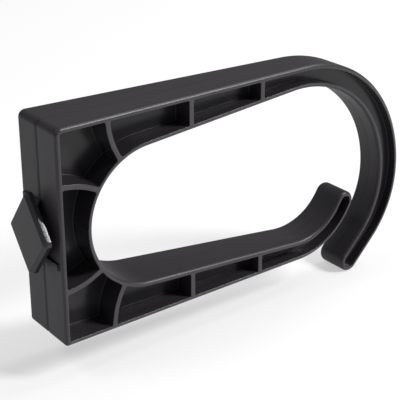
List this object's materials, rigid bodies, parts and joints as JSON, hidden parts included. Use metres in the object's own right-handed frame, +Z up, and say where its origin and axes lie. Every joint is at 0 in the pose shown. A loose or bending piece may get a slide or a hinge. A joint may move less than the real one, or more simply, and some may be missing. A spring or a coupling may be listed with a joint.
{
  "type": "cable management ring",
  "caption": "Open cable ring of ribbed black plastic that turns into a square panel hole; cables go in past the overlapping nose and tip.",
  "frame": {"origin": "on the plug's axis, in the face that seats on the panel", "axes": "+X forward from the panel to the nose, +Z up, Y across the ring"},
  "size_m": [0.0777, 0.012, 0.043],
  "materials": {
    "black_plastic": "satin, as moulded"
  },
  "bodies": {
    "root": {"cable_ring": "black_plastic"}
  },
  "joints": []
}
